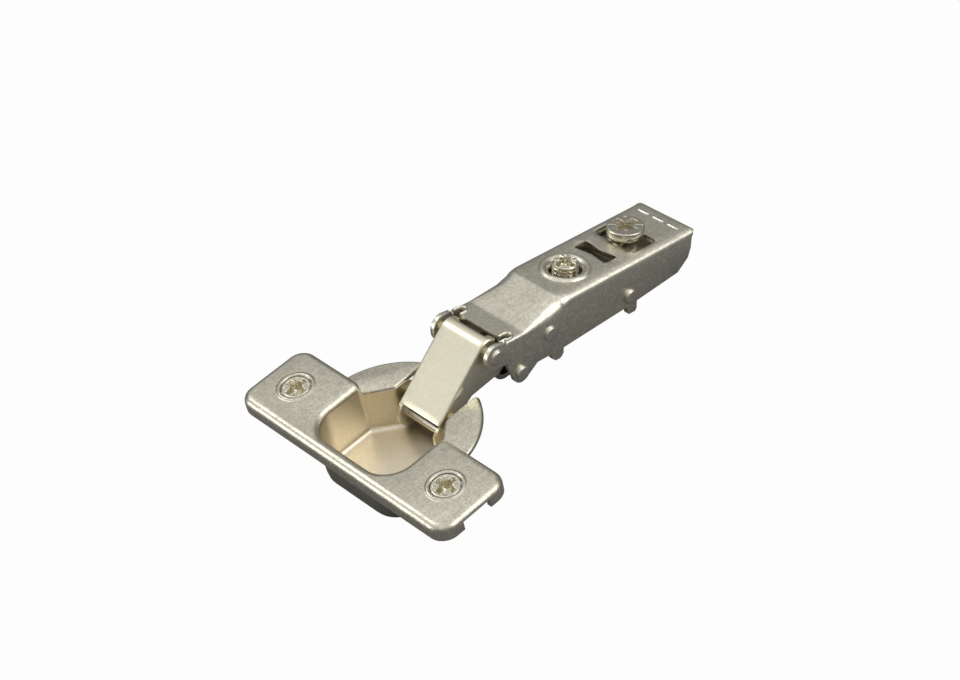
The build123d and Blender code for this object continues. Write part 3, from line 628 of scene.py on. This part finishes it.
def make_arm_screws():
    """The threaded overlay screw and the head of the depth screw, with their crosses and ticks."""
    top = ARM_TOP + 1.93
    low = SADDLE_UNDER - 0.05
    face = screw_face(STUD_RADIUS, top, 1.4, 2.6, 0.62, (1.5, 2.4))
    outline = [(top - 0.3, STUD_RADIUS, 0), (top - 0.5, 3.0, 1), (2.95, 3.0, 1), (2.94, 1.8, 0)]
    outline += [(low, 1.8, 0), (low - 0.01, 3, 0), (low - 0.65, 3, 0)]
    axes = (ARM[0] + OVERLAY_X * ARM[1][0], ARM[1])
    parts = [face, threaded(outline, 1.05, 0.8)]
    screw = make_piece("overlay_thread", parts, "overlay_screw", axes)
    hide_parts("overlay_screw")

    low = ARM_TOP + 0.6
    face = screw_face(DEPTH_HEAD, low + 2.36, 2.0, 2.9, 0.8, (2.3, 3.9))
    side = [(DEPTH_HEAD, 2.06), (4.43, 1.5), (4.43, 0.9), (4.3, 0.4), (3.9, -0.02), (2.0, -0.04)]
    axes = (ARM[0] + DEPTH_X * ARM[1][0], ARM[1])
    parts = [face, revolve(np.array(side) + (0, low))]
    make_piece("depth_head", parts, "depth_screw", axes)


def coil(centre, radius, wire, turns, length):
    """Coil round the lateral axis: the wire's section turned along a helix.

    With a the angle along the wire and b round it, r = radius + wire / 2 * cos b and
    lateral = length * (a / a_end - 0.5) + wire / 2 * sin b.
    """
    along = np.linspace(0, 2 * math.pi * turns, int(turns * 22))[:, None]
    round_wire = np.linspace(0, 2 * math.pi, 10, endpoint=False)[None, :]
    reach = radius + wire / 2 * np.cos(round_wire)
    x = centre[0] + reach * np.cos(along)
    z = centre[1] + reach * np.sin(along)
    y = length * (along / along[-1] - 0.5) + wire / 2 * np.sin(round_wire)
    return loft(np.stack((x, y, z), axis=-1), caps="first last")


def make_spring():
    """Closing spring round pin A."""
    spring = make_piece("closing_coil", [coil((0, 0), 1.72, 0.74, 8, 8.4)], "outer_link", ARM)
    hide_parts("closing_spring")


def make_rivets():
    """Flat heads with a rolled edge on the pins and rivets of the arm's walls."""
    head = np.array(((0.02, 0.72), (1.3, 0.72), (1.58, 0.66), (1.78, 0.5), (1.86, 0.26), (1.86, -0.05)))
    turn = np.linspace(0, 2 * math.pi, 40, endpoint=False)
    parts = []
    for x, z in ((0, 0), to_axes(ARM, *PIN_B), GUIDE, TILT):
        for side in (-1, 1):
            along = x + head[:, :1] * np.cos(turn)
            out = z + head[:, :1] * np.sin(turn)
            lateral = np.broadcast_to(side * (ARM_HALF + head[:, 1:]), along.shape)
            parts.append(loft(np.stack((along, lateral, out), axis=-1)))
    make_piece("rivet_heads", parts, "arm", ARM)


def make_saddle():
    """The saddle with a window under the arm's hourglass hole, which is dark inside."""
    node = NODES["saddle"]
    mesh = node.data
    mesh.calc_loop_triangles()
    points = np.empty(3 * len(mesh.vertices))
    mesh.vertices.foreach_get("co", points)
    place = np.array(node.matrix_world)
    points = (points.reshape(-1, 3) @ place[:3, :3].T + place[:3, 3]) / MM
    faces = np.empty(3 * len(mesh.loop_triangles), int)
    mesh.loop_triangles.foreach_get("vertices", faces)
    saddle = make_piece("saddle_channel", [(points, [faces.reshape(-1, 3)])], "saddle")
    window = rounded_loop(box(2.6, 5.3), 1.0, 4) + (WAIST_X, 0)
    carve(saddle, [prism(window, SADDLE_UNDER + 2, SADDLE_UNDER - 0.7)], ARM)
    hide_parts("saddle")


def group_sockets(group, sockets):
    """Adds the named sockets to a node group: (name, in or out, kind, default)."""
    for name, side, kind, default in sockets:
        socket = group.interface.new_socket(name=name, in_out=side, socket_type="NodeSocket" + kind)
        if default is not None:
            socket.default_value = default


def link_nodes(tree, *pairs):
    """Links (node, output) to (node, input) for each pair."""
    for (source, output), (target, entry) in pairs:
        tree.links.new(source.outputs[output], target.inputs[entry])


def noise(tree, scale, detail, rough):
    """Noise over the object's own coordinates."""
    place = tree.nodes.new("ShaderNodeTexCoord")
    texture = tree.nodes.new("ShaderNodeTexNoise")
    texture.inputs["Scale"].default_value = scale
    texture.inputs["Detail"].default_value = detail
    texture.inputs["Roughness"].default_value = rough
    tree.links.new(place.outputs["Object"], texture.inputs["Vector"])
    return texture


def map_range(tree, source, low, high, new_low=0.0, new_high=1.0):
    """Stretches a value from one range to another."""
    stretch = tree.nodes.new("ShaderNodeMapRange")
    stretch.inputs["From Min"].default_value = low
    stretch.inputs["From Max"].default_value = high
    stretch.inputs["To Min"].default_value = new_low
    stretch.inputs["To Max"].default_value = new_high
    tree.links.new(source, stretch.inputs["Value"])
    return stretch.outputs[0]


def math_node(tree, operation, first, second):
    """A math node of two values, each a socket or a number."""
    node = tree.nodes.new("ShaderNodeMath")
    node.operation = operation
    for entry, value in zip(node.inputs, (first, second)):
        if isinstance(value, (int, float)):
            entry.default_value = value
        else:
            tree.links.new(value, entry)
    return node.outputs[0]


def mix_colour(tree, share, first, second):
    """Mixes two colours, each a socket or a tuple."""
    node = tree.nodes.new("ShaderNodeMix")
    node.data_type = "RGBA"
    tree.links.new(share, node.inputs[0])
    for entry, value in zip((node.inputs[6], node.inputs[7]), (first, second)):
        if isinstance(value, tuple):
            entry.default_value = value
        else:
            tree.links.new(value, entry)
    return node.outputs[2]


def make_plate_group():
    """Mottle of a tumbled nickel plate: fine grey speckle over broad warm clouds, with pits for the bump."""
    group = bpy.data.node_groups.new("tumbled_plate", "ShaderNodeTree")
    group_sockets(
        group,
        [
            ("Light", "INPUT", "Color", (0.8, 0.8, 0.8, 1)),
            ("Dark", "INPUT", "Color", (0.5, 0.5, 0.5, 1)),
            ("Speckle", "INPUT", "Float", 0.5),
            ("Rough", "INPUT", "Float", 0.35),
            ("Color", "OUTPUT", "Color", None),
            ("Roughness", "OUTPUT", "Float", None),
            ("Height", "OUTPUT", "Float", None),
        ],
    )
    source = group.nodes.new("NodeGroupInput").outputs
    target = group.nodes.new("NodeGroupOutput").inputs
    grain = map_range(group, noise(group, 2600, 4, 0.7).outputs["Fac"], 0.4, 0.6)
    cloud = map_range(group, noise(group, 560, 4, 0.6).outputs["Fac"], 0.3, 0.7)
    fine = math_node(group, "MULTIPLY", grain, 0.6)
    mottle = math_node(group, "ADD", fine, math_node(group, "MULTIPLY", cloud, 0.4))
    weight = math_node(group, "MULTIPLY", mottle, source["Speckle"])
    speck = map_range(group, noise(group, 1300, 2, 0.5).outputs["Fac"], 0.58, 0.66, 0.0, 0.75)
    shade = mix_colour(group, weight, source["Light"], source["Dark"])
    colour = mix_colour(group, speck, shade, source["Light"])
    rough = math_node(group, "ADD", math_node(group, "MULTIPLY", weight, 0.16), source["Rough"])
    group.links.new(colour, target["Color"])
    group.links.new(rough, target["Roughness"])
    group.links.new(mottle, target["Height"])
    return group


def plated_material(name, light, dark, speckle, rough, bump=0.12):
    """Nickel plate in two tones, with the shared mottle."""
    material = bpy.data.materials.new(name)
    material.use_nodes = True
    tree = material.node_tree
    shader = tree.nodes["Principled BSDF"]
    shader.inputs["Metallic"].default_value = 1
    plate = tree.nodes.new("ShaderNodeGroup")
    plate.node_tree = PLATE
    plate.inputs["Light"].default_value = (*light, 1)
    plate.inputs["Dark"].default_value = (*dark, 1)
    plate.inputs["Speckle"].default_value = speckle
    plate.inputs["Rough"].default_value = rough
    relief = tree.nodes.new("ShaderNodeBump")
    relief.inputs["Strength"].default_value = bump
    relief.inputs["Distance"].default_value = 0.05 * MM
    link_nodes(
        tree,
        ((plate, "Color"), (shader, "Base Color")),
        ((plate, "Roughness"), (shader, "Roughness")),
        ((plate, "Height"), (relief, "Height")),
        ((relief, "Normal"), (shader, "Normal")),
    )
    return material


def dress():
    """Gives every piece and every CAD node its plate, some of them lighter or darker copies that paint light
    and shade, and smooths the CAD nodes up to their creases.
    """
    cup = plated_material("cup_plate", (0.80, 0.76, 0.63), (0.39, 0.37, 0.30), 0.85, 0.27)
    # Lighter, warmer copy of the cup's plate for the pot's inside: painted light, so the walls don't fall as
    # dark as their shade leaves them.
    pot = plated_material("pot_plate_painted_light", (0.84, 0.76, 0.60), (0.70, 0.63, 0.49), 0.7, 0.32)
    # Darker copy of the cup's plate for the pot's outside: painted shade.
    shell = plated_material("shell_plate_painted_shade", (0.38, 0.365, 0.31), (0.25, 0.24, 0.20), 0.7, 0.45)
    # Darker copy of the plate for the base under the arm: painted shade.
    base = plated_material("base_plate_painted_shade", (0.28, 0.27, 0.23), (0.18, 0.17, 0.145), 0.7, 0.45)
    saddle = plated_material("saddle_plate", (0.70, 0.66, 0.55), (0.46, 0.43, 0.36), 0.7, 0.36)
    # Lighter copy of the plate for the outer link: painted light, for the light its slope catches.
    link = plated_material("link_plate_painted_light", (0.93, 0.88, 0.70), (0.72, 0.68, 0.52), 0.8, 0.28)
    arm = plated_material("arm_plate", (0.93, 0.89, 0.75), (0.46, 0.44, 0.36), 0.85, 0.27)
    inner = plated_material("inner_plate", (0.42, 0.40, 0.34), (0.26, 0.25, 0.21), 0.7, 0.40)
    screw = plated_material("screw_plate", (0.80, 0.76, 0.63), (0.46, 0.43, 0.34), 0.6, 0.20, 0.05)
    pin = plated_material("pin_plate", (0.74, 0.71, 0.62), (0.50, 0.48, 0.41), 0.5, 0.26)
    wire = plated_material("spring_wire", (0.66, 0.63, 0.55), (0.40, 0.38, 0.33), 0.5, 0.24)
    finish = {
        "cup_flange": cup,
        "cup_rim": cup,
        "cup_shell": shell,
        "cup_pot": pot,
        "cup_screw_rings": cup,
        "outer_link_plate": link,
        "arm_channel": arm,
        "arm_presswork": arm,
        "inner_link": inner,
        "saddle_channel": saddle,
        "rivet_heads": pin,
        "base": base,
        "release_lever": inner,
        "depth_screw": screw,
        "overlay_thread": screw,
        "depth_head": screw,
        "flange_screw_left": screw,
        "flange_screw_right": screw,
        "closing_coil": wire,
        "lever_spring": wire,
    }
    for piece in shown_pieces():
        piece.data.materials.clear()
        piece.data.materials.append(finish.get(piece.name, pin))
    for node in NODES.values():
        mesh = node.data
        mesh.polygons.foreach_set("use_smooth", [True] * len(mesh.polygons))
        weld = node.modifiers.new("weld", "WELD")
        weld.merge_threshold = 0.003 * MM
        split = node.modifiers.new("split", "EDGE_SPLIT")
        split.split_angle = math.radians(35)


def add_white(tree, shader, camera, glossy):
    """Mixes plain white in for camera rays, and by its own share for glossy and transmission rays."""
    path = tree.nodes.new("ShaderNodeLightPath")
    white = tree.nodes.new("ShaderNodeEmission")
    white.inputs["Color"].default_value = (1, 1, 1, 1)
    white.inputs["Strength"].default_value = 1
    mirror = math_node(tree, "MAXIMUM", path.outputs["Is Glossy Ray"], path.outputs["Is Transmission Ray"])
    seen = math_node(tree, "MULTIPLY", path.outputs["Is Camera Ray"], camera)
    share = math_node(tree, "MAXIMUM", seen, math_node(tree, "MULTIPLY", mirror, glossy))
    mix = tree.nodes.new("ShaderNodeMixShader")
    tree.links.new(share, mix.inputs[0])
    tree.links.new(shader.outputs[0], mix.inputs[1])
    tree.links.new(white.outputs[0], mix.inputs[2])
    return mix


def make_floor():
    """Plain white floor just under the hinge, which keeps a soft shadow."""
    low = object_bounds()[0][2] - 0.2 * MM
    size = 3.0
    mesh = bpy.data.meshes.new("floor")
    mesh.from_pydata([(x, y, low) for x, y in box(size, size)], [], [(0, 1, 2, 3)])
    floor = bpy.data.objects.new("floor", mesh)
    bpy.context.scene.collection.objects.link(floor)
    material = bpy.data.materials.new("floor_white")
    material.use_nodes = True
    tree = material.node_tree
    shader = tree.nodes["Principled BSDF"]
    shader.inputs["Base Color"].default_value = (0.15, 0.15, 0.15, 1)
    shader.inputs["Roughness"].default_value = 0.9
    mix = add_white(tree, shader, 0.98, 0.04)
    tree.links.new(mix.outputs[0], tree.nodes["Material Output"].inputs["Surface"])
    mesh.materials.append(material)


def make_world():
    """White to the camera, and a soft grey room for everything else, brighter overhead."""
    world = bpy.data.worlds.new("studio")
    bpy.context.scene.world = world
    world.use_nodes = True
    tree = world.node_tree
    room = tree.nodes["Background"]
    place = tree.nodes.new("ShaderNodeTexCoord")
    split = tree.nodes.new("ShaderNodeSeparateXYZ")
    tree.links.new(place.outputs["Generated"], split.inputs[0])
    tree.links.new(map_range(tree, split.outputs["Z"], 0.3, 0.83, 0.08, 0.87), room.inputs["Color"])
    mix = add_white(tree, room, 1.0, 0.1)
    tree.links.new(mix.outputs[0], tree.nodes["World Output"].inputs["Surface"])


def area_light(name, direction, distance, size, power):
    """Square softbox in a direction from the hinge's middle, aimed at it."""
    light = bpy.data.lights.new(name, "AREA")
    light.size = size
    light.energy = power
    lamp = bpy.data.objects.new(name, light)
    middle = Vector((0.025, 0, 0))
    aim = Vector(direction).normalized()
    lamp.location = middle + aim * distance
    lamp.rotation_euler = (-aim).to_track_quat("-Z", "Y").to_euler()
    bpy.context.scene.collection.objects.link(lamp)


def make_lights():
    """Low boxes on the left and right, which the rolled edges mirror, and a small one for the link's curl."""
    area_light("left_box", (-0.77, 0.6, 0.17), 1.0, 0.6, 3.0)
    area_light("right_box", (0.46, -0.7, 0.5), 1.0, 0.8, 3.6)
    area_light("back_box", (-0.12, 0.6, 0.79), 1.0, 0.32, 1.0)


def make_camera():
    """Camera at the photograph's place. Its axes are the rows of the turn from the part to the view."""
    angle = CAMERA_TURN.length
    view = Matrix.Rotation(angle, 3, CAMERA_TURN.normalized())
    data = bpy.data.cameras.new("camera")
    data.lens = LENS
    data.sensor_width = SENSOR
    camera = bpy.data.objects.new("camera", data)
    axes = Matrix((view[0], -view[1], -view[2])).transposed()
    camera.matrix_world = Matrix.Translation(CAMERA_SPOT) @ axes.to_4x4()
    bpy.context.scene.collection.objects.link(camera)
    bpy.context.scene.camera = camera


PLATE = make_plate_group()
make_flange()
make_rim()
make_pot()
make_screw_rings()
make_outer_link()
make_arm()
make_flange_screws()
make_arm_screws()
make_spring()
make_rivets()
make_saddle()
dress()
make_floor()
make_world()
make_lights()
make_camera()
bpy.context.scene.view_settings.view_transform = "Standard"
